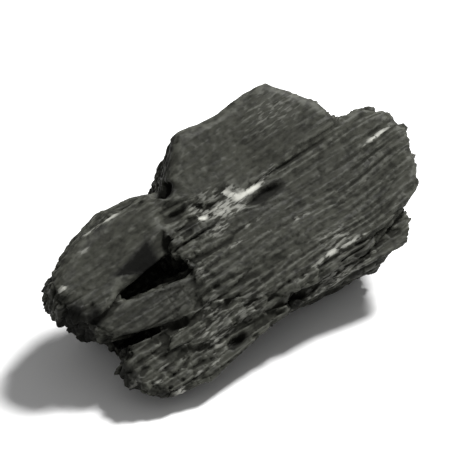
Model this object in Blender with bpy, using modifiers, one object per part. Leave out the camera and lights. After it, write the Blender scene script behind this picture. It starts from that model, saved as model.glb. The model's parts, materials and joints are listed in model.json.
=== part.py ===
"""Charcoal lump: one piece of split, charred wood, lying on a surface.

Metres, +Z up. X runs along the wood's grain as seen from above, Y from the lump's low front to its
high back, and the origin is on the surface, under the middle of the lump.

The shape is laid out in the frame of the broad split face on top: s along the grain, w across it and
uphill, h out of the face. That face leans towards the front, and its grain climbs to the right.
"""

import math

import bmesh
import bpy
import numpy as np
from mathutils import Matrix, Vector, noise

# Driving dimensions
GRAIN_RISE = math.radians(9)  # the grain's climb, from level
FACE_LEAN = math.radians(30)  # the broad face's slope, across the grain
FACE_HEIGHT = 0.0310  # the middle of the broad face, above the surface that the lump lies on
RING = 0.0024  # spacing of the growth rings
RING_RIDGE = 0.0006  # height of the ridge that each year's ring leaves
PITH = (0.120, -0.075)  # the tree's centre line, as w and h
STEP = 0.0010  # height of the steps that run along the grain
SPLINTER = (0.026, 0.0032)  # length and width of a bundle of fibres
SPLINTER_STEP = 0.0007  # how far the bundles stand above each other
CREVICE = (0.160, 0.0042)  # length and spacing of the cracks along the grain
CREVICE_DEPTH = 0.0014
END_FACING = (0.60, 0.85)  # how squarely a surface faces along the grain where the broken ends begin
END_BLOCK = (0.008, 0.006)  # size of the blocks at a broken end, along the rays and round the rings
END_STEP = 0.0026  # how far those blocks stand out
BEND = (0.026, 0.0015)  # length and depth of the soft bends in the whole wood
BLOCK = 0.30  # side of the block that the lump is split from
FOOT_RADIUS = 0.009  # the three low spots that the lump rests on
FOOT_DEPTH = 0.0008  # how far they would go below the surface, before the ground levels them
FOOT_SIDE = (0.004, 0.008)  # heights between which a foot gives way to the lump's side
UNDERSIDE = 0.0022  # the underside's height between the feet
SLANT = 0.28  # how far a layer's sides run back uphill, for each step down into the wood
CUTTER_TOP = 0.020  # how far the splits' cutters stand out of the face
MESH_SIZE = 0.0008  # size of the faces that the relief is raised on
TRIANGLES = 10500  # what is left of them once the flat stretches are thinned out
SEED = 7  # of the noises that bend and split the wood

# The growth layers that broke off at different lengths: outline as s and w, low h, high h, worn rim
LAYERS = {
    "plateau": ([
        (-0.0080, 0.0240), (-0.0050, 0.0160), (-0.0035, 0.0095), (0.0035, 0.0135), (0.0065, 0.0130),
        (0.0090, 0.0085), (0.0140, 0.0090), (0.0210, 0.0080), (0.0340, 0.0095), (0.0485, 0.0100),
        (0.0480, 0.0160), (0.0462, 0.0205), (0.0425, 0.0262), (0.0378, 0.0348), (0.0295, 0.0353),
        (0.0205, 0.0335), (0.0130, 0.0338), (0.0045, 0.0352),
    ], -0.020, 0.0009, 0.0028),
    "main": ([
        (-0.0185, -0.0020), (-0.0200, 0.0060), (-0.0185, 0.0140), (-0.0120, 0.0220), (0.0300, 0.0200),
        (0.0440, 0.0165), (0.0500, 0.0112), (0.0570, 0.0102), (0.0645, 0.0080), (0.0665, -0.0025),
        (0.0610, -0.0125), (0.0550, -0.0195), (0.0440, -0.0225), (0.0305, -0.0262), (0.0170, -0.0258),
        (0.0040, -0.0250), (-0.0060, -0.0200), (-0.0240, -0.0120),
    ], -0.019, 0.0, 0.0035),
    "upper_lobe": ([
        (-0.0565, 0.0110), (-0.0548, 0.0188), (-0.0415, 0.0248), (-0.0262, 0.0277), (-0.0165, 0.0258),
        (-0.0085, 0.0236), (0.0030, 0.0235), (0.0020, 0.0150), (-0.0110, 0.0085), (-0.0165, 0.0062),
        (-0.0380, 0.0046), (-0.0440, 0.0010), (-0.0542, 0.0022),
    ], -0.013, 0.0008, 0.0035),
    "middle_lobe": ([
        (-0.0535, 0.0035), (-0.0440, 0.0060), (-0.0385, 0.0030), (-0.0270, 0.0008), (-0.0160, -0.0020),
        (-0.0080, -0.0080), (-0.0160, -0.0160), (-0.0314, -0.0110), (-0.0468, -0.0070),
        (-0.0515, -0.0010),
    ], -0.016, -0.0010, 0.0022),
    "lower_step": ([
        (-0.0340, -0.0124), (-0.0100, -0.0140), (0.0080, -0.0200), (0.0095, -0.0240), (-0.0010, -0.0268),
        (-0.0130, -0.0228), (-0.0240, -0.0232), (-0.0320, -0.0190), (-0.0400, -0.0175),
    ], -0.0125, -0.0016, 0.0020),
    "lower_lobe": ([
        (-0.0500, -0.0105), (-0.0314, -0.0122), (-0.0100, -0.0140), (0.0080, -0.0200), (0.0075, -0.0262),
        (-0.0010, -0.0292), (-0.0190, -0.0302), (-0.0308, -0.0310), (-0.0442, -0.0285),
        (-0.0532, -0.0181),
    ], -0.0125, -0.0030, 0.0040),
}
# The open splits between those layers: outline as s and w, and how deep they run
SPLITS = {
    "upper_split": ([
        (-0.0395, 0.0042), (-0.0289, 0.0058), (-0.0225, 0.0058), (-0.0190, 0.0052), (-0.0160, -0.0012),
        (-0.0195, -0.0026), (-0.0276, -0.0004), (-0.0361, 0.0012),
    ], 0.018),
    "lower_split": ([
        (-0.0620, -0.0060), (-0.0470, -0.0060), (-0.0300, -0.0119), (-0.0470, -0.0090),
        (-0.0620, -0.0110),
    ], 0.018),
}
# The slope that runs down into the upper split, as the faces of the wedge that broke out above it:
# each a point and its outward direction, both in s, w and h
SHOULDER_FACES = [
    ((-0.0353, 0.0092, 0.0010), (-0.13, 0.55, -0.82)),
    ((-0.0353, 0.0092, 0.0), (-0.50, -0.87, 0.0)),
    ((-0.0175, 0.0135, 0.0), (0.99, -0.15, 0.0)),
    ((-0.0200, 0.0000, 0.0), (0.0, -1.0, 0.0)),
]
# Faces that the wood broke along, each as a point in s, w and h and its outward direction in X, Y
# and Z: those of the thick middle, and those that trim the layers' back and their undersides at the
# two ends as well
CORE_FACES = [
    ((0.000, -0.0255, -0.0035), (0.00, -0.82, -0.57)),
    ((0.000, 0.0245, -0.0035), (0.00, 0.985, 0.17)),
    ((0.0470, 0.0120, 0.0), (0.75, 0.64, -0.10)),
    ((0.0550, 0.0000, 0.0), (0.95, 0.05, -0.30)),
    ((0.0580, -0.0150, -0.0035), (0.75, -0.45, -0.48)),
    ((-0.0470, 0.0000, -0.0035), (-0.93, 0.05, -0.30)),
    ((-0.0400, 0.0215, -0.0035), (-0.45, 0.88, 0.10)),
    ((-0.0430, -0.0180, -0.0035), (-0.75, -0.60, -0.25)),
]
TRIM_FACES = [
    ((0.0200, 0.0357, 0.0022), (0.03, 0.98, 0.18)),
    ((0.0000, 0.0300, -0.0240), (-0.05, 0.86, -0.50)),
    ((0.0640, 0.0000, -0.0120), (0.78, 0.05, -0.62)),
    ((-0.0560, 0.0100, -0.0090), (-0.83, 0.10, -0.56)),
]
CORE_TOP = -0.0035  # the core's own broad face, as h
# Patches of the broad face that split off smooth: middle as s and w, half sizes along and across,
# and how much of the relief they lack
SMOOTH_PATCHES = [
    ((0.0215, 0.0230), (0.034, 0.0155), 0.92),
    ((-0.034, 0.015), (0.022, 0.012), 0.88),
    ((-0.034, -0.004), (0.018, 0.008), 0.60),
    ((0.028, -0.003), (0.044, 0.020), 0.60),
]
SMOOTH_BELOW = (-0.005, -0.0025)  # h where a smooth patch gives way to the rough sides
# Hollows in the broad face: middle as s and w, half sizes along and across the grain, depth
HOLLOWS = [
    ((0.0160, 0.0050), (0.0085, 0.0026), 0.0018),
    ((-0.0125, 0.0150), (0.0060, 0.0060), 0.0012),
    ((-0.0096, 0.0236), (0.0042, 0.0038), 0.0040),
    ((0.0030, -0.0245), (0.0040, 0.0020), 0.0020),
    ((-0.0180, -0.0250), (0.0040, 0.0018), 0.0018),
]
# The three feet, as X and Y before the lump is centred
FEET = [(-0.032, -0.005), (0.036, -0.001), (0.003, 0.022)]


def face_frame():
    """The broad face's frame: its columns are s, w and h in the lump's own axes."""
    lean = Matrix.Rotation(-GRAIN_RISE, 4, "Y") @ Matrix.Rotation(FACE_LEAN, 4, "X")
    return Matrix.Translation((0, 0, FACE_HEIGHT)) @ lean


FACE = face_frame()


# Blender helpers

def new_collection(name):
    collection = bpy.data.collections.new(name)
    bpy.context.scene.collection.children.link(collection)
    return collection


def add_object(name, mesh, collection):
    obj = bpy.data.objects.new(name, mesh)
    collection.objects.link(obj)
    return obj


def add_helper(name, mesh, collection):
    obj = add_object(name, mesh, collection)
    obj.hide_render = True
    obj.display_type = "WIRE"
    return obj


def as_mesh(obj, name):
    """The object's evaluated mesh, in the lump's frame."""
    bpy.context.view_layer.update()
    graph = bpy.context.evaluated_depsgraph_get()
    mesh = bpy.data.meshes.new_from_object(obj.evaluated_get(graph))
    mesh.transform(obj.matrix_world)
    mesh.name = name
    return mesh


def remove_collection(collection):
    for obj in list(collection.objects):
        bpy.data.objects.remove(obj)
    bpy.data.collections.remove(collection)


# Rough body

def split_away(shape, point, outward):
    """Cuts off what lies outside a plane, and closes the cut."""
    cut = bmesh.ops.bisect_plane(
        shape, geom=shape.verts[:] + shape.edges[:] + shape.faces[:],
        plane_co=point, plane_no=outward, clear_outer=True)
    rim = [edge for edge in cut["geom_cut"] if isinstance(edge, bmesh.types.BMEdge)]
    bmesh.ops.edgeloop_fill(shape, edges=rim)


def on_face(faces):
    """Faces whose points are given in s, w and h, in the lump's frame."""
    return [(FACE @ Vector(point), Vector(outward)) for point, outward in faces]


def split_block(name, height, faces, collection):
    """A block whose middle is at a height, split along flat faces."""
    shape = bmesh.new()
    bmesh.ops.create_cube(shape, size=BLOCK, matrix=Matrix.Translation((0, 0, height)))
    for point, outward in faces:
        split_away(shape, point, outward)
    bmesh.ops.recalc_face_normals(shape, faces=shape.faces)
    mesh = bpy.data.meshes.new(name)
    shape.to_mesh(mesh)
    shape.free()
    return add_helper(name, mesh, collection)


def prism(name, outline, low, high, collection):
    """A flat outline on the broad face, raised from low to high, with sides that slant back."""
    curve = bpy.data.curves.new(name, "CURVE")
    curve.dimensions = "2D"
    curve.fill_mode = "BOTH"
    curve.extrude = (high - low) / 2
    spline = curve.splines.new("POLY")
    spline.points.add(len(outline) - 1)
    for point, (s, w) in zip(spline.points, outline):
        point.co = (s, w, 0, 1)
    spline.use_cyclic_u = True
    guide = add_object(name + "_outline", curve, collection)
    guide.location.z = (low + high) / 2
    mesh = as_mesh(guide, name)
    slant = Matrix.Identity(4)
    slant[1][2] = -SLANT
    mesh.transform(FACE @ slant)
    bpy.data.objects.remove(guide)
    shape = bmesh.new()
    shape.from_mesh(mesh)
    bmesh.ops.remove_doubles(shape, verts=shape.verts, dist=1e-6)
    bmesh.ops.dissolve_limit(shape, angle_limit=0.01, verts=shape.verts, edges=shape.edges)
    bmesh.ops.recalc_face_normals(shape, faces=shape.faces)
    shape.to_mesh(mesh)
    shape.free()
    return add_helper(name, mesh, collection)


def worn_rim(obj, width):
    bevel = obj.modifiers.new("worn_rim", "BEVEL")
    bevel.width = width
    bevel.segments = 3
    bevel.limit_method = "ANGLE"
    bevel.angle_limit = math.radians(50)


def add_boolean(obj, operation, collection):
    modifier = obj.modifiers.new(collection.name, "BOOLEAN")
    modifier.operation = operation
    modifier.operand_type = "COLLECTION"
    modifier.collection = collection
    modifier.solver = "EXACT"


def keep_largest(mesh):
    """Leaves out the loose crumbs that the splits cut off."""
    shape = bmesh.new()
    shape.from_mesh(mesh)
    left = set(shape.verts)
    bodies = []
    while left:
        start = left.pop()
        body = [start]
        for vertex in body:
            ends = {edge.other_vert(vertex) for edge in vertex.link_edges} & left
            left -= ends
            body.extend(ends)
        bodies.append(body)
    bodies.sort(key=len)
    crumbs = [vertex for body in bodies[:-1] for vertex in body]
    bmesh.ops.delete(shape, geom=crumbs, context="VERTS")
    shape.to_mesh(mesh)
    shape.free()


def rough_body():
    """The core with the layers left on it and the splits between them, in small even faces."""
    middle = new_collection("core")
    layers = new_collection("layers")
    trim = new_collection("trim")
    splits = new_collection("splits")
    underside = (Vector((0, 0, UNDERSIDE)), Vector((0, 0, -1)))
    face_out = FACE.to_3x3() @ Vector((0, 0, 1))
    core_faces = CORE_FACES + [((0, 0, CORE_TOP), face_out)]
    body = split_block("core", 0, on_face(core_faces) + [underside], middle)
    split_block("trim", 0, on_face(TRIM_FACES) + [underside], trim)
    for name, (outline, low, high, rim) in LAYERS.items():
        worn_rim(prism(name, outline, low, high, layers), rim)
    for name, (outline, depth) in SPLITS.items():
        prism(name, outline, -depth, CUTTER_TOP, splits)
    turn = FACE.to_3x3()
    shoulder = [(point, turn @ Vector(outward)) for point, outward in SHOULDER_FACES]
    split_block("shoulder", 0, on_face(shoulder), splits)
    add_boolean(body, "UNION", layers)
    add_boolean(body, "INTERSECT", trim)
    add_boolean(body, "DIFFERENCE", splits)
    remesh = body.modifiers.new("even_faces", "REMESH")
    remesh.mode = "VOXEL"
    remesh.voxel_size = MESH_SIZE
    mesh = as_mesh(body, "charcoal_lump")
    keep_largest(mesh)
    for collection in (middle, layers, trim, splits):
        remove_collection(collection)
    return mesh


# Relief, in the broad face's frame

def smoothstep(low, high, value):
    t = min(1.0, max(0.0, (value - low) / (high - low)))
    return t * t * (3 - 2 * t)


def near(value, width):
    """1 where value is 0, falling to 0 at width on either side."""
    return 1 - smoothstep(0.0, width, abs(value))


def stretched(point, along, across):
    """The point in units of along and across, which draw a noise out along the grain."""
    return Vector((point[0] / along, point[1] / across, point[2] / across))


def grain_noise(point, along, across, seed):
    return noise.noise(stretched(point, along, across) + Vector((seed, 2.3 * seed, 5.1 * seed)))


def oval(point, middle, half):
    """How far the point is from an oval's middle, 1 at its rim."""
    return math.hypot((point[0] - middle[0]) / half[0], (point[1] - middle[1]) / half[1])


def roughness(point):
    """How much of the relief shows: little on the smooth patches, all of it elsewhere."""
    on_face = smoothstep(*SMOOTH_BELOW, point[2])
    smooth = max(lack * (1 - smoothstep(0.75, 1.05, oval(point, middle, half)))
                 for middle, half, lack in SMOOTH_PATCHES)
    return 1 - on_face * smooth


def growth_rings(point):
    """A saw-toothed ridge for each year's ring, which the split laid open."""
    wander = 0.0012 * grain_noise(point, 0.080, 0.024, 0.0) + 0.0002 * grain_noise(point, 0.020, 0.007, 0.0)
    ring = (math.hypot(point[1] - PITH[0], point[2] - PITH[1]) + wander) / RING
    year = ring - math.floor(ring)
    strength = 0.6 + 1.2 * max(0.0, 0.3 + grain_noise(point, 0.025, 0.006, 1.0))
    return RING_RIDGE * strength * year ** 1.8 * (1 - smoothstep(0.70, 1.0, year))


def broken_layers(point):
    """Steps that run along the grain, where one layer's wood ends above the next."""
    level = 1.8 * grain_noise(point, 0.100, 0.0085, 2.0)
    whole = math.floor(level)
    return STEP * (whole + smoothstep(0.85, 1.0, level - whole))


def splinters(point):
    """Bundles of fibres at slightly different heights, with a groove between them."""
    warp = 0.15 * noise.noise_vector(stretched(point, 0.030, 0.004))
    gaps, middles = noise.voronoi(stretched(point, *SPLINTER) + warp)
    height = noise.noise(5.3 * middles[0])
    return SPLINTER_STEP * height - 0.0003 * near(gaps[1] - gaps[0], 0.16)


def crevices(point):
    """Deep, narrow cracks along the grain, in some places only."""
    line = near(grain_noise(point, *CREVICE, 3.0), 0.18)
    place = smoothstep(0.05, 0.4, grain_noise(point, 0.030, 0.009, 4.0))
    return -CREVICE_DEPTH * line * place


def hollows(point):
    if point[2] < SMOOTH_BELOW[0]:
        return 0.0
    bent = Vector(point) + 0.0012 * noise.noise_vector(stretched(point, 0.007, 0.003))
    return -sum(depth * (1 - smoothstep(0.3, 1.0, oval(bent, middle, half)))
                for middle, half, depth in HOLLOWS)


def broken_end(point):
    """How far the wood reaches at a broken end: blocks between the rays, and the rings' edges."""
    radius = math.hypot(point[1] - PITH[0], point[2] - PITH[1])
    angle = math.atan2(point[2] - PITH[1], point[1] - PITH[0])
    place = Vector((radius / END_BLOCK[0], angle * radius / END_BLOCK[1], 0))
    gaps, middles = noise.voronoi(place + 0.25 * noise.noise_vector(2 * place))
    block = END_STEP * noise.noise(5.3 * middles[0]) - 0.0008 * near(gaps[1] - gaps[0], 0.12)
    return block + 1.2 * growth_rings(point)


def raised(point, normal):
    """Where a point of the rough body goes, with the relief."""
    end = smoothstep(*END_FACING, abs(normal[0]))
    out = growth_rings(point) + broken_layers(point) + splinters(point) + crevices(point)
    out = roughness(point) * (1 - 0.6 * end) * out + hollows(point)
    bend = BEND[1] * noise.noise_vector(stretched(point, BEND[0], BEND[0]))
    moved = Vector(point) + out * Vector(normal) + bend
    moved.x += math.copysign(end, normal[0]) * broken_end(point)
    return moved


def raise_relief(mesh):
    to_face = FACE.inverted()
    turn = to_face.to_3x3()
    places = [FACE @ raised(to_face @ vertex.co, turn @ vertex.normal) for vertex in mesh.vertices]
    for vertex, place in zip(mesh.vertices, places):
        vertex.co = draw_down(place)
    mesh.update()


def draw_down(place):
    """Brings the underside down to the surface at the three feet."""
    low = 1 - smoothstep(*FOOT_SIDE, place.z)
    for x, y in FEET:
        reach = 1 - smoothstep(0.5, 1.0, math.hypot(place.x - x, place.y - y) / FOOT_RADIUS)
        place.z -= reach * low * (place.z + FOOT_DEPTH)
    return place


# The lump

def charcoal():
    material = bpy.data.materials.new("charcoal")
    material.use_nodes = True
    surface = material.node_tree.nodes["Principled BSDF"]
    surface.inputs["Base Color"].default_value = (0.055, 0.056, 0.048, 1)
    surface.inputs["Roughness"].default_value = 0.7
    surface.inputs["Metallic"].default_value = 0.0
    return material


def centre_origin(mesh):
    """Brings the origin under the middle of the lump."""
    corners = np.array([vertex.co for vertex in mesh.vertices])
    middle = (corners.min(axis=0) + corners.max(axis=0)) / 2
    mesh.transform(Matrix.Translation((-middle[0], -middle[1], 0)))


def main():
    for obj in list(bpy.data.objects):
        bpy.data.objects.remove(obj)
    noise.seed_set(SEED)
    collection = new_collection("charcoal_lump")
    ground = new_collection("ground")
    mesh = rough_body()
    raise_relief(mesh)
    draft = add_object("relief", mesh, collection)
    thin_out = draft.modifiers.new("thin_out", "DECIMATE")
    thin_out.ratio = TRIANGLES / (2 * len(mesh.polygons))
    split_block("ground", -BLOCK / 2, [], ground)
    add_boolean(draft, "DIFFERENCE", ground)
    finished = as_mesh(draft, "charcoal_lump")
    bpy.data.objects.remove(draft)
    remove_collection(ground)
    centre_origin(finished)
    lump = add_object("charcoal_lump", finished, collection)
    lump.data.materials.append(charcoal())


if __name__ == "__main__":
    main()
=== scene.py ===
"""Charcoal lump, dressed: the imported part's shape again in fine faces, with its surface and a studio.

Metres, +Z up, in the part's frame. The shape is laid out in the frame of the broad split face on top:
s along the grain, w across it and uphill, h out of the face.
"""

import json
import math

import bmesh
import bpy
import numpy as np
from mathutils import Matrix, Vector, noise

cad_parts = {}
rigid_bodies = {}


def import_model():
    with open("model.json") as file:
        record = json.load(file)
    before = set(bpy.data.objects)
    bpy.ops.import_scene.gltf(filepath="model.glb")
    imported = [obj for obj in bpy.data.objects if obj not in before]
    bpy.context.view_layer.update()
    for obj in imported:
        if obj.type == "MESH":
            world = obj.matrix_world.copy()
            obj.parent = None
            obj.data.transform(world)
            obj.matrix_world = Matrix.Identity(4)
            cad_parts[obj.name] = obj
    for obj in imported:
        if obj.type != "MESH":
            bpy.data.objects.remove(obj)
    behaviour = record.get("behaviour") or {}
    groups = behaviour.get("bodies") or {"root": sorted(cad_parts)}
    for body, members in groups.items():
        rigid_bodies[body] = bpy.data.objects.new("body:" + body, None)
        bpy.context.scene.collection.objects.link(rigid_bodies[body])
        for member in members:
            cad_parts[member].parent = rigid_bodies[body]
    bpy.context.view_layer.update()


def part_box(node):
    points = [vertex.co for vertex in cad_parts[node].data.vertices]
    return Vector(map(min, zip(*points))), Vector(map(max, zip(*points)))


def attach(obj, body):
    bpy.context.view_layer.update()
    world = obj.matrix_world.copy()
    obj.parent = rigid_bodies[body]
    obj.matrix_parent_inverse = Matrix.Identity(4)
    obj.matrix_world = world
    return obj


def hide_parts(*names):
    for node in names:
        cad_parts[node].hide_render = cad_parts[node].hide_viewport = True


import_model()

# Driving dimensions
GRAIN_RISE = math.radians(9)  # the grain's climb, from level
FACE_LEAN = math.radians(30)  # the broad face's slope, across the grain
FACE_HEIGHT = 0.0310  # the middle of the broad face, above the surface that the lump lies on
RING = 0.0024  # spacing of the growth rings
RING_RIDGE = 0.0006  # height of the ridge that each year's ring leaves
RING_WANDER = (0.0012, 0.0002)  # how far the rings stray from true circles, in long and short waves
PITH = (0.120, -0.075)  # the tree's centre line, as w and h
STEP = 0.0010  # height of the steps that run along the grain
SPLINTER = (0.026, 0.0032)  # length and width of a bundle of fibres
SPLINTER_STEP = 0.0007  # how far the bundles stand above each other
SPLINTER_GROOVE = 0.0003  # depth of the grooves between them
CREVICE = (0.160, 0.0042)  # length and spacing of the cracks along the grain
CREVICE_DEPTH = 0.0014
END_FACING = (0.60, 0.85)  # how squarely a surface faces along the grain where the broken ends begin
END_BLOCK = (0.008, 0.006)  # size of the blocks at a broken end, along the rays and round the rings
END_STEP = 0.0026  # how far those blocks stand out
END_GROOVE = 0.0008  # depth of the cracks between them
END_RINGS = 1.2  # how far the rings' edges stand out there, in ring ridges
END_CALM = 0.6  # how much the other relief lacks at a broken end
BEND = (0.026, 0.0015)  # length and depth of the soft bends in the whole wood
BLOCK = 0.30  # side of the block that the lump is split from
FOOT_RADIUS = 0.009  # the three low spots that the lump rests on
FOOT_DEPTH = 0.0008  # how far they would go below the surface, before the ground levels them
FOOT_SIDE = (0.004, 0.008)  # heights between which a foot gives way to the lump's side
UNDERSIDE = 0.0022  # the underside's height between the feet
SLANT = 0.28  # how far a layer's sides run back uphill, for each step down into the wood
CUTTER_TOP = 0.020  # how far the splits' cutters stand out of the face
MESH_SIZE = 0.00044  # size of the faces that the relief is raised on
TRIANGLES = 192000  # what is left of them once the flat stretches are thinned out
# The fine relief: size along and across the grain, and height or depth
COARSE_FIBRES = (0.030, 0.0015)
COARSE_FIBRE_HEIGHT = 0.00030
FINE_FIBRES = (0.014, 0.0007)
FINE_FIBRE_HEIGHT = 0.00016
CROSS_CRACKS = (0.0024, 0.0080)
CROSS_CRACK_PLACES = (0.017, 0.012)
CROSS_CRACK_DEPTH = 0.00022
PITS = (0.0032, 0.0022)
PIT_DEPTH = 0.0005
PITTED = (0.5, 0.9)  # roughness between which the pits come in
SURFACE_GRIT = (0.0018, 0.0013)
GRIT_HEIGHT = 0.00008
SEED = 7  # of the noises that bend and split the wood

# The growth layers that broke off at different lengths: outline as s and w, low h, high h, worn rim
LAYERS = {
    "plateau": ([
        (-0.0080, 0.0240), (-0.0050, 0.0160), (-0.0035, 0.0095), (0.0035, 0.0135), (0.0065, 0.0130),
        (0.0090, 0.0085), (0.0140, 0.0090), (0.0210, 0.0080), (0.0340, 0.0095), (0.0485, 0.0100),
        (0.0480, 0.0160), (0.0462, 0.0205), (0.0425, 0.0262), (0.0378, 0.0348), (0.0295, 0.0353),
        (0.0205, 0.0335), (0.0130, 0.0338), (0.0045, 0.0352),
    ], -0.020, 0.0009, 0.0028),
    "main": ([
        (-0.0185, -0.0020), (-0.0200, 0.0060), (-0.0185, 0.0140), (-0.0120, 0.0220), (0.0300, 0.0200),
        (0.0440, 0.0165), (0.0500, 0.0112), (0.0570, 0.0102), (0.0645, 0.0080), (0.0665, -0.0025),
        (0.0610, -0.0125), (0.0550, -0.0195), (0.0440, -0.0225), (0.0305, -0.0262), (0.0170, -0.0258),
        (0.0040, -0.0250), (-0.0060, -0.0200), (-0.0240, -0.0120),
    ], -0.019, 0.0, 0.0035),
    "upper_lobe": ([
        (-0.0565, 0.0110), (-0.0548, 0.0188), (-0.0415, 0.0248), (-0.0262, 0.0277), (-0.0165, 0.0258),
        (-0.0085, 0.0236), (0.0030, 0.0235), (0.0020, 0.0150), (-0.0110, 0.0085), (-0.0165, 0.0062),
        (-0.0380, 0.0046), (-0.0440, 0.0010), (-0.0542, 0.0022),
    ], -0.013, 0.0008, 0.0035),
    "middle_lobe": ([
        (-0.0535, 0.0035), (-0.0440, 0.0060), (-0.0385, 0.0030), (-0.0270, 0.0008), (-0.0160, -0.0020),
        (-0.0080, -0.0080), (-0.0160, -0.0160), (-0.0314, -0.0110), (-0.0468, -0.0070),
        (-0.0515, -0.0010),
    ], -0.016, -0.0010, 0.0022),
    "lower_step": ([
        (-0.0340, -0.0124), (-0.0100, -0.0140), (0.0080, -0.0200), (0.0095, -0.0240), (-0.0010, -0.0268),
        (-0.0130, -0.0228), (-0.0240, -0.0232), (-0.0320, -0.0190), (-0.0400, -0.0175),
    ], -0.0125, -0.0016, 0.0020),
    "lower_lobe": ([
        (-0.0500, -0.0105), (-0.0314, -0.0122), (-0.0100, -0.0140), (0.0080, -0.0200), (0.0075, -0.0262),
        (-0.0010, -0.0292), (-0.0190, -0.0302), (-0.0308, -0.0310), (-0.0442, -0.0285),
        (-0.0532, -0.0181),
    ], -0.0125, -0.0030, 0.0040),
}
# The open splits between those layers: outline as s and w, and how deep they run
SPLITS = {
    "upper_split": ([
        (-0.0395, 0.0042), (-0.0289, 0.0058), (-0.0225, 0.0058), (-0.0190, 0.0052), (-0.0160, -0.0012),
        (-0.0195, -0.0026), (-0.0276, -0.0004), (-0.0361, 0.0012),
    ], 0.018),
    "lower_split": ([
        (-0.0620, -0.0060), (-0.0470, -0.0060), (-0.0300, -0.0119), (-0.0470, -0.0090),
        (-0.0620, -0.0110),
    ], 0.018),
}
# The slope that runs down into the upper split, as the faces of the wedge that broke out above it:
# each a point and its outward direction, both in s, w and h
SHOULDER_FACES = [
    ((-0.0353, 0.0092, 0.0010), (-0.13, 0.55, -0.82)),
    ((-0.0353, 0.0092, 0.0), (-0.50, -0.87, 0.0)),
    ((-0.0175, 0.0135, 0.0), (0.99, -0.15, 0.0)),
    ((-0.0200, 0.0000, 0.0), (0.0, -1.0, 0.0)),
]
# Faces that the wood broke along, each as a point in s, w and h and its outward direction in X, Y
# and Z: those of the thick middle, and those that trim the layers' back and their undersides at the
# two ends as well
CORE_FACES = [
    ((0.000, -0.0255, -0.0035), (0.00, -0.82, -0.57)),
    ((0.000, 0.0245, -0.0035), (0.00, 0.985, 0.17)),
    ((0.0470, 0.0120, 0.0), (0.75, 0.64, -0.10)),
    ((0.0550, 0.0000, 0.0), (0.95, 0.05, -0.30)),
    ((0.0580, -0.0150, -0.0035), (0.75, -0.45, -0.48)),
    ((-0.0470, 0.0000, -0.0035), (-0.93, 0.05, -0.30)),
    ((-0.0400, 0.0215, -0.0035), (-0.45, 0.88, 0.10)),
    ((-0.0430, -0.0180, -0.0035), (-0.75, -0.60, -0.25)),
]
TRIM_FACES = [
    ((0.0200, 0.0357, 0.0022), (0.03, 0.98, 0.18)),
    ((0.0000, 0.0300, -0.0240), (-0.05, 0.86, -0.50)),
    ((0.0640, 0.0000, -0.0120), (0.78, 0.05, -0.62)),
    ((-0.0560, 0.0100, -0.0090), (-0.83, 0.10, -0.56)),
]
CORE_TOP = -0.0035  # the core's own broad face, as h
# Patches of the broad face that split off smooth: middle as s and w, half sizes along and across,
# and how much of the relief they lack
SMOOTH_PATCHES = [
    ((0.0215, 0.0230), (0.034, 0.0155), 0.92),
    ((-0.034, 0.015), (0.022, 0.012), 0.88),
    ((-0.034, -0.004), (0.018, 0.008), 0.60),
    ((0.028, -0.003), (0.044, 0.020), 0.60),
]
SMOOTH_BELOW = (-0.005, -0.0025)  # h where a smooth patch gives way to the rough sides
# Hollows in the broad face: middle as s and w, half sizes along and across the grain, depth
HOLLOWS = [
    ((0.0160, 0.0050), (0.0085, 0.0026), 0.0018),
    ((-0.0125, 0.0150), (0.0060, 0.0060), 0.0012),
    ((-0.0096, 0.0236), (0.0042, 0.0038), 0.0040),
    ((0.0030, -0.0245), (0.0040, 0.0020), 0.0020),
    ((-0.0180, -0.0250), (0.0040, 0.0018), 0.0018),
]
HOLLOW_WANDER = 0.0012  # how far a hollow's rim strays from an oval
# The three feet, as X and Y before the lump is centred
FEET = [(-0.032, -0.005), (0.036, -0.001), (0.003, 0.022)]


def face_frame():
    """The broad face's frame: its columns are s, w and h in the lump's own axes."""
    lean = Matrix.Rotation(-GRAIN_RISE, 4, "Y") @ Matrix.Rotation(FACE_LEAN, 4, "X")
    return Matrix.Translation((0, 0, FACE_HEIGHT)) @ lean


FACE = face_frame()


# Blender helpers

def new_collection(name):
    collection = bpy.data.collections.new(name)
    bpy.context.scene.collection.children.link(collection)
    return collection


def add_object(name, mesh, collection):
    obj = bpy.data.objects.new(name, mesh)
    collection.objects.link(obj)
    return obj


def add_helper(name, mesh, collection):
    obj = add_object(name, mesh, collection)
    obj.hide_render = True
    obj.display_type = "WIRE"
    return obj


def as_mesh(obj, name):
    """The object's evaluated mesh, in the lump's frame."""
    bpy.context.view_layer.update()
    graph = bpy.context.evaluated_depsgraph_get()
    mesh = bpy.data.meshes.new_from_object(obj.evaluated_get(graph))
    mesh.transform(obj.matrix_world)
    mesh.name = name
    return mesh


def remove_collection(collection):
    for obj in list(collection.objects):
        bpy.data.objects.remove(obj)
    bpy.data.collections.remove(collection)


# Rough body

def split_away(shape, point, outward):
    """Cuts off what lies outside a plane, and closes the cut."""
    cut = bmesh.ops.bisect_plane(
        shape, geom=shape.verts[:] + shape.edges[:] + shape.faces[:],
        plane_co=point, plane_no=outward, clear_outer=True)
    rim = [edge for edge in cut["geom_cut"] if isinstance(edge, bmesh.types.BMEdge)]
    bmesh.ops.edgeloop_fill(shape, edges=rim)


def on_face(faces):
    """Faces whose points are given in s, w and h, in the lump's frame."""
    return [(FACE @ Vector(point), Vector(outward)) for point, outward in faces]


def split_block(name, faces, collection):
    """A block split along flat faces."""
    shape = bmesh.new()
    bmesh.ops.create_cube(shape, size=BLOCK)
    for point, outward in faces:
        split_away(shape, point, outward)
    bmesh.ops.recalc_face_normals(shape, faces=shape.faces)
    mesh = bpy.data.meshes.new(name)
    shape.to_mesh(mesh)
    shape.free()
    return add_helper(name, mesh, collection)


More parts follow.
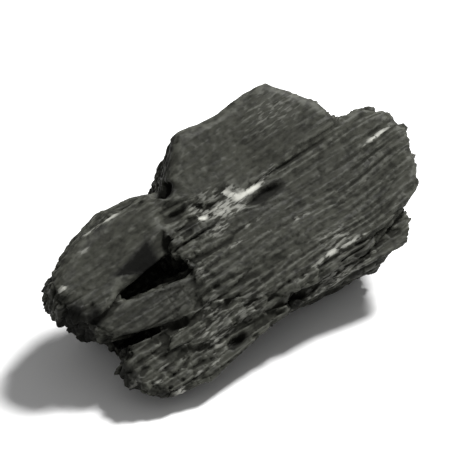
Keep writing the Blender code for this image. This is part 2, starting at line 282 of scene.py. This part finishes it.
def prism(name, outline, low, high, collection):
    """A flat outline on the broad face, raised from low to high, with sides that slant back."""
    curve = bpy.data.curves.new(name, "CURVE")
    curve.dimensions = "2D"
    curve.fill_mode = "BOTH"
    curve.extrude = (high - low) / 2
    spline = curve.splines.new("POLY")
    spline.points.add(len(outline) - 1)
    for point, (s, w) in zip(spline.points, outline):
        point.co = (s, w, 0, 1)
    spline.use_cyclic_u = True
    guide = add_object(name + "_outline", curve, collection)
    guide.location.z = (low + high) / 2
    mesh = as_mesh(guide, name)
    slant = Matrix.Identity(4)
    slant[1][2] = -SLANT
    mesh.transform(FACE @ slant)
    bpy.data.objects.remove(guide)
    shape = bmesh.new()
    shape.from_mesh(mesh)
    bmesh.ops.remove_doubles(shape, verts=shape.verts, dist=1e-6)
    bmesh.ops.dissolve_limit(shape, angle_limit=0.01, verts=shape.verts, edges=shape.edges)
    bmesh.ops.recalc_face_normals(shape, faces=shape.faces)
    shape.to_mesh(mesh)
    shape.free()
    return add_helper(name, mesh, collection)


def worn_rim(obj, width):
    bevel = obj.modifiers.new("worn_rim", "BEVEL")
    bevel.width = width
    bevel.segments = 3
    bevel.limit_method = "ANGLE"
    bevel.angle_limit = math.radians(50)


def add_boolean(obj, operation, collection):
    modifier = obj.modifiers.new(collection.name, "BOOLEAN")
    modifier.operation = operation
    modifier.operand_type = "COLLECTION"
    modifier.collection = collection
    modifier.solver = "EXACT"


def keep_largest(mesh):
    """Leaves out the loose crumbs that the splits cut off."""
    shape = bmesh.new()
    shape.from_mesh(mesh)
    left = set(shape.verts)
    bodies = []
    while left:
        start = left.pop()
        body = [start]
        for vertex in body:
            ends = {edge.other_vert(vertex) for edge in vertex.link_edges} & left
            left -= ends
            body.extend(ends)
        bodies.append(body)
    bodies.sort(key=len)
    crumbs = [vertex for body in bodies[:-1] for vertex in body]
    bmesh.ops.delete(shape, geom=crumbs, context="VERTS")
    shape.to_mesh(mesh)
    shape.free()


def rough_body():
    """The core with the layers left on it and the splits between them, in small even faces."""
    middle = new_collection("core")
    layers = new_collection("layers")
    trim = new_collection("trim")
    splits = new_collection("splits")
    underside = (Vector((0, 0, UNDERSIDE)), Vector((0, 0, -1)))
    face_out = FACE.to_3x3() @ Vector((0, 0, 1))
    core_faces = CORE_FACES + [((0, 0, CORE_TOP), face_out)]
    body = split_block("core", on_face(core_faces) + [underside], middle)
    split_block("trim", on_face(TRIM_FACES) + [underside], trim)
    for name, (outline, low, high, rim) in LAYERS.items():
        worn_rim(prism(name, outline, low, high, layers), rim)
    for name, (outline, depth) in SPLITS.items():
        prism(name, outline, -depth, CUTTER_TOP, splits)
    turn = FACE.to_3x3()
    shoulder = [(point, turn @ Vector(outward)) for point, outward in SHOULDER_FACES]
    split_block("shoulder", on_face(shoulder), splits)
    add_boolean(body, "UNION", layers)
    add_boolean(body, "INTERSECT", trim)
    add_boolean(body, "DIFFERENCE", splits)
    remesh = body.modifiers.new("even_faces", "REMESH")
    remesh.mode = "VOXEL"
    remesh.voxel_size = MESH_SIZE
    mesh = as_mesh(body, "charcoal_lump")
    keep_largest(mesh)
    for collection in (middle, layers, trim, splits):
        remove_collection(collection)
    return mesh


# Relief, in the broad face's frame

def smoothstep(low, high, value):
    t = min(1.0, max(0.0, (value - low) / (high - low)))
    return t * t * (3 - 2 * t)


def near(value, width):
    """1 where value is 0, falling to 0 at width on either side."""
    return 1 - smoothstep(0.0, width, abs(value))


def stretched(point, along, across):
    """The point in units of along and across, which draw a noise out along the grain."""
    return Vector((point[0] / along, point[1] / across, point[2] / across))


def grain_noise(point, along, across, seed):
    """Noise drawn out along the grain: each seed picks another one."""
    return noise.noise(stretched(point, along, across) + Vector((seed, 2.3 * seed, 5.1 * seed)))


def oval(point, middle, half):
    """How far the point is from an oval's middle, 1 at its rim."""
    return math.hypot((point[0] - middle[0]) / half[0], (point[1] - middle[1]) / half[1])


def roughness(point):
    """How much of the relief shows: little on the smooth patches, all of it elsewhere."""
    on_top = smoothstep(*SMOOTH_BELOW, point[2])
    smooth = max(lack * (1 - smoothstep(0.75, 1.05, oval(point, middle, half)))
                 for middle, half, lack in SMOOTH_PATCHES)
    return 1 - on_top * smooth


def growth_rings(point):
    """A saw-toothed ridge for each year's ring, which the split laid open."""
    wander = RING_WANDER[0] * grain_noise(point, 0.080, 0.024, 0.0)
    wander += RING_WANDER[1] * grain_noise(point, 0.020, 0.007, 0.0)
    ring = (math.hypot(point[1] - PITH[0], point[2] - PITH[1]) + wander) / RING
    year = ring - math.floor(ring)
    strength = 0.6 + 1.2 * max(0.0, 0.3 + grain_noise(point, 0.025, 0.006, 1.0))
    return RING_RIDGE * strength * year ** 1.8 * (1 - smoothstep(0.70, 1.0, year))


def broken_layers(point):
    """Steps that run along the grain, where one layer's wood ends above the next."""
    level = 1.8 * grain_noise(point, 0.100, 0.0085, 2.0)
    whole = math.floor(level)
    return STEP * (whole + smoothstep(0.85, 1.0, level - whole))


def cell_height(middle):
    """A height for each bundle or block, which its middle picks."""
    return noise.noise(5.3 * middle)


def splinters(point):
    """Bundles of fibres at slightly different heights, with a groove between them."""
    warp = 0.15 * noise.noise_vector(stretched(point, 0.030, 0.004))
    gaps, middles = noise.voronoi(stretched(point, *SPLINTER) + warp)
    return SPLINTER_STEP * cell_height(middles[0]) - SPLINTER_GROOVE * near(gaps[1] - gaps[0], 0.16)


def crevices(point):
    """Deep, narrow cracks along the grain, in some places only."""
    line = near(grain_noise(point, *CREVICE, 3.0), 0.18)
    place = smoothstep(0.05, 0.4, grain_noise(point, 0.030, 0.009, 4.0))
    return -CREVICE_DEPTH * line * place


def hollows(point):
    if point[2] < SMOOTH_BELOW[0]:
        return 0.0
    bent = Vector(point) + HOLLOW_WANDER * noise.noise_vector(stretched(point, 0.007, 0.003))
    return -sum(depth * (1 - smoothstep(0.3, 1.0, oval(bent, middle, half)))
                for middle, half, depth in HOLLOWS)


def broken_end(point):
    """How far the wood reaches at a broken end: blocks between the rays, and the rings' edges."""
    radius = math.hypot(point[1] - PITH[0], point[2] - PITH[1])
    angle = math.atan2(point[2] - PITH[1], point[1] - PITH[0])
    place = Vector((radius / END_BLOCK[0], angle * radius / END_BLOCK[1], 0))
    gaps, middles = noise.voronoi(place + 0.25 * noise.noise_vector(2 * place))
    block = END_STEP * cell_height(middles[0]) - END_GROOVE * near(gaps[1] - gaps[0], 0.12)
    return block + END_RINGS * growth_rings(point)


def fine_relief(point, end):
    """Fibres, cross cracks, pits and grit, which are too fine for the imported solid."""
    rough = roughness(point)
    fibres = COARSE_FIBRE_HEIGHT * grain_noise(point, *COARSE_FIBRES, 6.0)
    fibres += FINE_FIBRE_HEIGHT * grain_noise(point, *FINE_FIBRES, 7.0)
    crack = near(grain_noise(point, *CROSS_CRACKS, 8.0), 0.07)
    crack_place = smoothstep(0.12, 0.40, grain_noise(point, *CROSS_CRACK_PLACES, 9.0))
    pit = smoothstep(0.10, 0.45, grain_noise(point, *PITS, 11.0)) * smoothstep(*PITTED, rough)
    grit = GRIT_HEIGHT * grain_noise(point, *SURFACE_GRIT, 10.0)
    sunk = CROSS_CRACK_DEPTH * rough * crack * crack_place + PIT_DEPTH * pit
    return rough * fibres - (1 - end) * sunk + grit


def raised(point, normal):
    """Where a point of the rough body goes, with the relief."""
    end = smoothstep(*END_FACING, abs(normal[0]))
    out = growth_rings(point) + broken_layers(point) + splinters(point) + crevices(point)
    out = roughness(point) * (1 - END_CALM * end) * out + hollows(point) + fine_relief(point, end)
    bend = BEND[1] * noise.noise_vector(stretched(point, BEND[0], BEND[0]))
    moved = Vector(point) + out * Vector(normal) + bend
    moved.x += math.copysign(end, normal[0]) * broken_end(point)
    return moved


def raise_relief(mesh):
    """Raises the relief, and keeps each point's place in the wood for the material."""
    to_face = FACE.inverted()
    turn = to_face.to_3x3()
    wood = [to_face @ vertex.co for vertex in mesh.vertices]
    places = [FACE @ raised(point, turn @ vertex.normal) for point, vertex in zip(wood, mesh.vertices)]
    for vertex, place in zip(mesh.vertices, places):
        vertex.co = draw_down(place)
        vertex.co.z = max(vertex.co.z, 0.0)
    mesh.update()
    attribute = mesh.attributes.new("wood", "FLOAT_VECTOR", "POINT")
    attribute.data.foreach_set("vector", np.array(wood).ravel())
    store(mesh, "rough", [roughness(point) for point in wood])


def draw_down(place):
    """Brings the underside down to the surface at the three feet."""
    low = 1 - smoothstep(*FOOT_SIDE, place.z)
    for x, y in FEET:
        reach = 1 - smoothstep(0.5, 1.0, math.hypot(place.x - x, place.y - y) / FOOT_RADIUS)
        place.z -= reach * low * (place.z + FOOT_DEPTH)
    return place


# Attributes for the material

NEAR_ROUNDS = 4  # how often the points are smoothed for the level near by
FAR_ROUNDS = 40  # and, after those, for the level farther off


def store(mesh, name, values):
    """Keeps a value for each point, for the material to read by name."""
    attribute = mesh.attributes.new(name, "FLOAT", "POINT")
    attribute.data.foreach_set("value", values)


def rows(vectors, field):
    """A mesh's places, normals or other vectors, as rows of an array."""
    values = np.empty(len(vectors) * 3)
    vectors.foreach_get(field, values)
    return values.reshape(-1, 3)


def inside_oval(wood, middle, half, steep):
    """1 around an oval's middle, falling to 0 at its rim: the steeper, the later it falls."""
    reach = np.hypot((wood[:, 0] - middle[0]) / half[0], (wood[:, 1] - middle[1]) / half[1])
    return np.clip(steep - steep * reach, 0, 1)


def smoothed(points, edges, rounds):
    """The points, each moved to the middle of its neighbours a number of times."""
    count = len(points)
    degree = np.bincount(edges.ravel(), minlength=count)[:, None]
    for _ in range(rounds):
        total = np.empty_like(points)
        for axis in range(3):
            there = np.bincount(edges[:, 0], weights=points[edges[:, 1], axis], minlength=count)
            back = np.bincount(edges[:, 1], weights=points[edges[:, 0], axis], minlength=count)
            total[:, axis] = there + back
        points = total / degree
    return points


def mark_relief(mesh):
    """Stores how far each point stands out of its surroundings, near by and farther off, in mm."""
    edges = np.empty(len(mesh.edges) * 2, dtype=np.int64)
    mesh.edges.foreach_get("vertices", edges)
    edges = edges.reshape(-1, 2)
    points = rows(mesh.vertices, "co")
    normals = rows(mesh.vertex_normals, "vector")
    near_by = smoothed(points, edges, NEAR_ROUNDS)
    farther = smoothed(near_by, edges, FAR_ROUNDS)
    for name, level in (("crest", near_by), ("height", farther)):
        store(mesh, name, np.einsum("ij,ij->i", points - level, normals) * 1000)


def mark_glints(mesh):
    """Stores where highlights are painted on, as fresh breaks that catch the light, on the broad face
    only.
    """
    wood = rows(mesh.attributes["wood"].data, "vector")
    glint = np.zeros(len(wood))
    for middle, half, strength in GLINTS:
        glint = np.maximum(glint, strength * inside_oval(wood, middle, half, GLINT_STEEP))
    glint *= np.clip((wood[:, 2] - GLINTS_ABOVE) / GLINTS_FADE, 0, 1)
    store(mesh, "glint", glint)


def mark_painted_shade(mesh):
    """Stores where shade is painted on: in the slope above the upper split, and in some hollows and
    shaded layers.
    """
    wood = rows(mesh.attributes["wood"].data, "vector")
    outside = np.full(len(wood), -1.0)
    for point, outward in SHOULDER_FACES:
        outward = np.array(outward) / np.linalg.norm(outward)
        outside = np.maximum(outside, (wood - np.array(point)) @ outward)
    painted_shade = np.clip((SLOPE_DEPTH - outside) / SLOPE_RIM, 0, 1)
    painted_shade *= np.clip((SLOPE_END - wood[:, 0]) / SLOPE_FADE, SLOPE_LEAST, 1)
    for middle, half, strength in PAINTED_SHADE_SPOTS:
        painted_shade = np.maximum(painted_shade, strength * inside_oval(wood, middle, half, SHADE_STEEP))
    store(mesh, "painted_shade", painted_shade)


# Materials

class Nodes:
    """Short calls for building a material's node tree."""

    def __init__(self, material):
        material.use_nodes = True
        self.tree = material.node_tree
        self.surface = self.tree.nodes["Principled BSDF"]

    def add(self, kind, inputs=None, **settings):
        node = self.tree.nodes.new("ShaderNode" + kind)
        for name, value in settings.items():
            setattr(node, name, value)
        for name, value in (inputs or {}).items():
            self.feed(node.inputs[name], value)
        return node

    def feed(self, socket, value):
        if isinstance(value, bpy.types.NodeSocket):
            self.tree.links.new(value, socket)
        else:
            socket.default_value = value

    def attribute(self, name, output="Fac"):
        return self.add("Attribute", attribute_name=name).outputs[output]

    def math(self, operation, *values):
        node = self.add("Math", operation=operation)
        for socket, value in zip(node.inputs, values):
            self.feed(socket, value)
        return node.outputs[0]

    def between(self, value, low, high, new_low=0.0, new_high=1.0):
        """The value mapped from one range to another, smoothly and clamped."""
        node = self.add("MapRange", {"Value": value, "From Min": low, "From Max": high,
                                     "To Min": new_low, "To Max": new_high},
                        interpolation_type="SMOOTHSTEP")
        return node.outputs[0]

    def noise(self, place, along, across, detail):
        """Noise drawn out along the grain: the size of its shapes along and across it, in metres."""
        scale = (1 / along, 1 / across, 1 / across)
        stretched_place = self.add("Mapping", {"Vector": place, "Scale": scale}).outputs[0]
        node = self.add("TexNoise", {"Vector": stretched_place, "Scale": 1.0, "Detail": detail})
        return node.outputs["Fac"]

    def shifted(self, value, pattern, weight):
        """The value, raised where a noise is above its middle of 0.5 and lowered where it is below."""
        return self.math("MULTIPLY_ADD", self.math("SUBTRACT", pattern, 0.5), weight, value)

    def mix(self, factor, first, second):
        """A blend of two colours; sockets 6, 7 and 2 of the node are the ones for colours."""
        node = self.add("Mix", data_type="RGBA")
        self.feed(node.inputs["Factor"], factor)
        self.feed(node.inputs[6], first)
        self.feed(node.inputs[7], second)
        return node.outputs[2]

    def bump(self, height, depth, normal=None):
        inputs = {"Height": height, "Distance": depth, "Strength": 1.0}
        if normal:
            inputs["Normal"] = normal
        return self.add("Bump", inputs).outputs[0]


# Colours, from painted shade in the deepest grooves to painted highlights on the freshest breaks
# painted shade, for the slope above the upper split and the shaded hollows
PAINTED_SHADE_BLACK = (0.0030, 0.0030, 0.0024, 1)
# dark char, and the painted shade at the bottom of the grooves
DARK_CHAR_AND_GROOVE_SHADE = (0.0105, 0.0106, 0.0080, 1)
CHAR = (0.0345, 0.0351, 0.0280, 1)
# painted sheen for the crests
SHEEN = (0.055, 0.056, 0.046, 1)
# pale painted highlights for the glints
PAINTED_HIGHLIGHT = (0.42, 0.42, 0.38, 1)
SPECULAR = 0.15
ROUGHNESS = (0.9, 0.60)  # in the grooves and on the crests
# Noises in the material: size along and across the grain, and how many finer noises are in each
FIBRE_NOISE = (0.030, 0.0011, 3)
HAIR_NOISE = (0.007, 0.00035, 2)
MOTTLE_NOISE = (0.010, 0.006, 3)
SPECKLE_NOISE = (0.0030, 0.0020, 2)
FLAKE_NOISE = (0.0030, 0.0008, 2)
GRIT_NOISE = (0.0017, 0.0012, 1)
# The tone runs from the dark char with the grooves' painted shade at 0 to CHAR at TONE_TOP, and the
# noises shift it by these weights
TONE_TOP = 1.5
CREST_WEIGHT = 1.7
FIBRE_WEIGHT = 0.8
MOTTLE_WEIGHT = 1.7
GRIT_WEIGHT = 1.6
SPECKLE_WEIGHT = (1.2, 3.4, 2.7)  # where the wood is smooth, what roughness adds, and at most
GROOVE = (-0.75, 0.05)  # crest and height, in mm, between which a groove's painted shade gives way to open wood
DEEP_SIDES = (-0.012, -0.003)  # h between which the painted shade on the lower sides gives way to the face
DEEP_SHADE = -0.35  # how much they take from the tone
SHEEN_CRESTS = (0.01, 0.09)  # crest, in mm, between which the painted sheen comes in
SHEEN_SPECKLE = (0.42, 0.60)  # and the speckle between which it does
RAGGED = (0.15, 0.55)  # glint between which a flake of painted highlight comes in
RAGGED_WEIGHT = 2.6  # how much the flakes shift the glint
WEAR_WEIGHT = 4.0  # the crest's weight in the wear that smooths the surface
WEAR = (0.3, 0.9)  # wear between which it goes from rough to smooth
# Bumps that are too fine for the mesh
HAIR_BUMP = 0.00008
FIBRE_BUMP = 0.00010
SPECKLE_BUMP = 0.00022
# Painted highlights, as small fresh breaks that catch the light and as wider hazes: middle as s and w,
# half sizes along and across, strength
GLINTS = [
    ((0.0066, 0.0126), (0.0034, 0.0016), 0.8),
    ((0.0078, 0.0108), (0.0034, 0.0016), 0.8),
    ((0.0094, 0.0090), (0.0038, 0.0018), 1.2),
    ((0.0138, 0.0087), (0.0054, 0.0015), 1.0),
    ((0.0180, 0.0092), (0.0044, 0.0012), 0.5),
    ((0.0020, 0.0086), (0.0080, 0.0036), 0.54),
    ((0.0050, 0.0062), (0.0066, 0.0022), 0.48),
    ((-0.0044, 0.0095), (0.0022, 0.0014), 1.3),
    ((-0.0178, 0.0010), (0.0016, 0.0009), 0.9),
    ((-0.0267, 0.0250), (0.0042, 0.0013), 0.8),
    ((-0.0345, 0.0252), (0.0048, 0.0010), 0.5),
    ((-0.0400, 0.0212), (0.0036, 0.0010), 0.3),
    ((-0.0525, 0.0150), (0.0020, 0.0011), 1.1),
    ((0.0565, 0.0014), (0.0075, 0.0008), 0.9),
    ((0.0205, -0.0200), (0.0036, 0.0011), 0.9),
    ((0.0275, -0.0204), (0.0080, 0.0008), 0.6),
    ((0.0155, -0.0202), (0.0044, 0.0010), 0.5),
    ((0.0078, -0.0207), (0.0036, 0.0014), 0.30),
    ((-0.0023, -0.0026), (0.0045, 0.0010), 0.30),
    ((-0.0010, 0.0140), (0.0090, 0.0040), 0.24),
    ((-0.0030, 0.0098), (0.0040, 0.0024), 0.44),
    ((0.0060, 0.0000), (0.0050, 0.0009), 0.25),
    ((0.0193, -0.0062), (0.0050, 0.0012), 0.32),
    ((0.0240, -0.0150), (0.0080, 0.0026), 0.22),
    ((-0.0150, -0.0185), (0.0200, 0.0060), 0.20),
    ((0.0180, -0.0265), (0.0220, 0.0030), 0.34),
    ((0.0215, 0.0100), (0.0050, 0.0020), 0.22),
    ((-0.0520, -0.0180), (0.0026, 0.0010), 0.6),
    ((-0.0450, -0.0215), (0.0024, 0.0010), 0.4),
    ((-0.0403, -0.0275), (0.0034, 0.0012), 0.6),
    ((-0.0409, -0.0187), (0.0026, 0.0010), 0.35),
    ((-0.0330, -0.0258), (0.0030, 0.0011), 0.4),
    ((-0.0266, -0.0262), (0.0030, 0.0011), 0.4),
    ((-0.0190, -0.0240), (0.0036, 0.0010), 0.3),
    ((0.0330, 0.0245), (0.0130, 0.0095), 0.15),
    ((-0.0040, 0.0125), (0.0050, 0.0050), 0.34),
    ((-0.0030, 0.0040), (0.0060, 0.0030), 0.34),
    ((-0.0235, -0.0205), (0.0050, 0.0070), 0.32),
    ((-0.0180, -0.0130), (0.0060, 0.0040), 0.24),
    ((0.0200, -0.0260), (0.0080, 0.0024), 0.36),
    ((-0.0150, -0.0035), (0.0040, 0.0030), 0.30),
    ((0.0245, -0.0185), (0.0080, 0.0055), 0.26),
]
GLINT_STEEP = 1.5
GLINTS_ABOVE = -0.010  # h from which there are glints
GLINTS_FADE = 0.003  # and how much higher they are in full
# Painted shade on hollows and shaded layers that stay dark: middle, half sizes and strength in the same
# way
PAINTED_SHADE_SPOTS = [
    ((0.0165, 0.0048), (0.0090, 0.0030), 0.6),
    ((-0.0090, 0.0228), (0.0036, 0.0032), 1.0),
    ((-0.0100, 0.0085), (0.0040, 0.0020), 0.5),
    ((0.0446, 0.0018), (0.0014, 0.0010), 0.6),
    ((-0.0520, -0.0160), (0.0045, 0.0070), 0.7),
    ((-0.0485, -0.0265), (0.0060, 0.0050), 0.7),
    ((-0.0540, 0.0060), (0.0040, 0.0060), 0.9),
    ((-0.0500, 0.0025), (0.0036, 0.0040), 0.9),
    ((-0.0322, 0.0238), (0.0040, 0.0012), 0.6),
    ((0.0033, -0.0250), (0.0050, 0.0024), 0.6),
    ((-0.0180, -0.0256), (0.0050, 0.0022), 0.6),
    ((-0.0310, -0.0050), (0.0240, 0.0080), 0.38),
    ((-0.0050, 0.0060), (0.0050, 0.0016), 0.4),
    ((0.0095, 0.0260), (0.0070, 0.0090), 0.14),
    ((0.0125, 0.0025), (0.0080, 0.0034), 0.34),
    ((-0.0560, 0.0120), (0.0060, 0.0060), 0.35),
    ((-0.0480, 0.0050), (0.0060, 0.0060), 0.25),
    ((0.0170, -0.0020), (0.0130, 0.0050), 0.20),
    ((0.0370, 0.0000), (0.0110, 0.0060), 0.14),
]
SHADE_STEEP = 2.0
SLOPE_DEPTH = 0.0014  # how far outside the wedge's faces wood still counts as the slope with painted shade
SLOPE_RIM = 0.0008  # width of the slope's soft rim
SLOPE_END = -0.0212  # s where its painted shade thins out, before it comes up against the main layer
SLOPE_FADE = 0.003  # how far before that the painted shade is in full
SLOPE_LEAST = 0.15  # how much of it is left there


def charcoal():
    material = bpy.data.materials.new("charcoal")
    nodes = Nodes(material)
    wood = nodes.attribute("wood", "Vector")
    crest = nodes.attribute("crest")
    height = nodes.attribute("height")
    fibre = nodes.noise(wood, *FIBRE_NOISE)
    hair = nodes.noise(wood, *HAIR_NOISE)
    mottle = nodes.noise(wood, *MOTTLE_NOISE)
    speckle = nodes.noise(wood, *SPECKLE_NOISE)
    flake = nodes.noise(wood, *FLAKE_NOISE)
    grit = nodes.noise(wood, *GRIT_NOISE)
    rough = nodes.attribute("rough")
    painted_shade = nodes.attribute("painted_shade")
    glint = nodes.attribute("glint")

    # painted shade: darker in the grooves, lighter on the crests
    groove_shade = nodes.between(nodes.math("MULTIPLY_ADD", crest, CREST_WEIGHT, height), *GROOVE)
    tone = nodes.shifted(groove_shade, fibre, nodes.math("MULTIPLY", rough, FIBRE_WEIGHT))
    tone = nodes.shifted(tone, mottle, MOTTLE_WEIGHT)
    smooth_weight, rough_weight, most = SPECKLE_WEIGHT
    patchy = nodes.math("MINIMUM", nodes.math("MULTIPLY_ADD", rough, rough_weight, smooth_weight), most)
    tone = nodes.shifted(tone, speckle, patchy)
    tone = nodes.shifted(tone, grit, GRIT_WEIGHT)
    out = nodes.add("SeparateXYZ", {"Vector": wood}).outputs["Z"]
    # painted shade on the lower sides
    tone = nodes.math("ADD", tone, nodes.between(out, *DEEP_SIDES, DEEP_SHADE, 0.0))
    colour = nodes.mix(nodes.between(tone, 0.0, TONE_TOP), DARK_CHAR_AND_GROOVE_SHADE, CHAR)
    # painted sheen on the crests
    sheen = nodes.math("MULTIPLY", nodes.between(crest, *SHEEN_CRESTS),
                       nodes.between(speckle, *SHEEN_SPECKLE))
    colour = nodes.mix(sheen, colour, SHEEN)
    # painted highlights on the glints, broken into flakes
    ragged = nodes.between(nodes.shifted(glint, flake, RAGGED_WEIGHT), *RAGGED)
    colour = nodes.mix(nodes.math("MULTIPLY", glint, ragged), colour, PAINTED_HIGHLIGHT)
    # painted shade on the slope above the upper split and in the shaded hollows, which also roughens
    # them
    colour = nodes.mix(painted_shade, colour, PAINTED_SHADE_BLACK)
    nodes.feed(nodes.surface.inputs["Base Color"], colour)

    wear = nodes.math("MULTIPLY_ADD", crest, WEAR_WEIGHT, fibre)
    roughness = nodes.math("MAXIMUM", nodes.between(wear, *WEAR, *ROUGHNESS), painted_shade)
    nodes.feed(nodes.surface.inputs["Roughness"], roughness)
    nodes.surface.inputs["Specular IOR Level"].default_value = SPECULAR

    normal = nodes.bump(nodes.math("MULTIPLY", hair, rough), HAIR_BUMP)
    normal = nodes.bump(nodes.math("MULTIPLY", fibre, rough), FIBRE_BUMP, normal)
    normal = nodes.bump(speckle, SPECKLE_BUMP, normal)
    nodes.feed(nodes.surface.inputs["Normal"], normal)
    return material


def pale(name, value):
    material = bpy.data.materials.new(name)
    nodes = Nodes(material)
    grain = nodes.add("TexNoise", {"Scale": 40.0, "Detail": 2.0}).outputs["Fac"]
    low = (value * 0.99, value * 0.99, value * 0.985, 1)
    nodes.feed(nodes.surface.inputs["Base Color"], nodes.mix(grain, low, (value, value, value, 1)))
    nodes.surface.inputs["Roughness"].default_value = 0.9
    return material


# The lump

def fit_to_part(mesh):
    """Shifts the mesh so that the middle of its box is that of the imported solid's."""
    low, high = (np.array(corner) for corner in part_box("charcoal_lump"))
    points = rows(mesh.vertices, "co")
    shift = (low + high - points.min(axis=0) - points.max(axis=0)) / 2
    mesh.transform(Matrix.Translation((shift[0], shift[1], 0)))


def build_lump():
    noise.seed_set(SEED)
    mesh = rough_body()
    raise_relief(mesh)
    draft = add_object("relief", mesh, bpy.context.scene.collection)
    thin_out = draft.modifiers.new("thin_out", "DECIMATE")
    thin_out.ratio = TRIANGLES / (2 * len(mesh.polygons))
    finished = as_mesh(draft, "lump")
    bpy.data.objects.remove(draft)
    fit_to_part(finished)
    mark_relief(finished)
    mark_glints(finished)
    mark_painted_shade(finished)
    finished.shade_smooth()
    lump = add_object("lump", finished, bpy.context.scene.collection)
    finished.materials.clear()
    finished.materials.append(charcoal())
    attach(lump, "root")
    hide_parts("charcoal_lump")


# Studio

PHOTO_AZIMUTH = math.radians(-39.7)
PHOTO_ELEVATION = math.radians(38)
CAMERA_DISTANCE = 1.0
VIEW_WIDTH = 0.1363  # what the picture's width takes in at the lump
VIEW_MIDDLE = Vector((-0.0051, -0.0050, 0.0310))
SENSOR_WIDTH = 36.0  # mm, Blender's default
WORLD_STRENGTH = 0.30
FLOOR_SIDE = 6
FLOOR_SHADE = 0.85
KEY_AZIMUTH = math.radians(95)
KEY_ELEVATION = math.radians(55)
KEY_DISTANCE = 1.0
KEY_SIZE = 0.22  # side of the square light
KEY_POWER = 21  # W


def direction(azimuth, elevation):
    """From the lump towards a camera or a light; azimuth 0 is the front."""
    flat = math.cos(elevation)
    return Vector((math.sin(azimuth) * flat, -math.cos(azimuth) * flat, math.sin(elevation)))


def aim(obj, towards_lump, distance):
    obj.location = VIEW_MIDDLE - towards_lump * distance
    obj.rotation_euler = towards_lump.to_track_quat("-Z", "Y").to_euler()


def add_camera():
    camera = add_object("camera", bpy.data.cameras.new("camera"), bpy.context.scene.collection)
    camera.data.lens = SENSOR_WIDTH * CAMERA_DISTANCE / VIEW_WIDTH
    aim(camera, -direction(PHOTO_AZIMUTH, PHOTO_ELEVATION), CAMERA_DISTANCE)
    bpy.context.scene.camera = camera


def add_key_light():
    data = bpy.data.lights.new("key", "AREA")
    data.size = KEY_SIZE
    data.energy = KEY_POWER
    light = add_object("key", data, bpy.context.scene.collection)
    aim(light, -direction(KEY_AZIMUTH, KEY_ELEVATION), KEY_DISTANCE)


def add_studio():
    world = bpy.data.worlds.new("studio")
    world.use_nodes = True
    background = world.node_tree.nodes["Background"]
    background.inputs["Color"].default_value = (1, 1, 1, 1)
    background.inputs["Strength"].default_value = WORLD_STRENGTH
    bpy.context.scene.world = world
    bpy.ops.mesh.primitive_plane_add(size=FLOOR_SIDE)
    floor = bpy.context.object
    floor.name = "floor"
    floor.data.materials.append(pale("pale_floor", FLOOR_SHADE))
    add_key_light()


build_lump()
add_studio()
add_camera()
bpy.context.scene.view_settings.view_transform = "Standard"
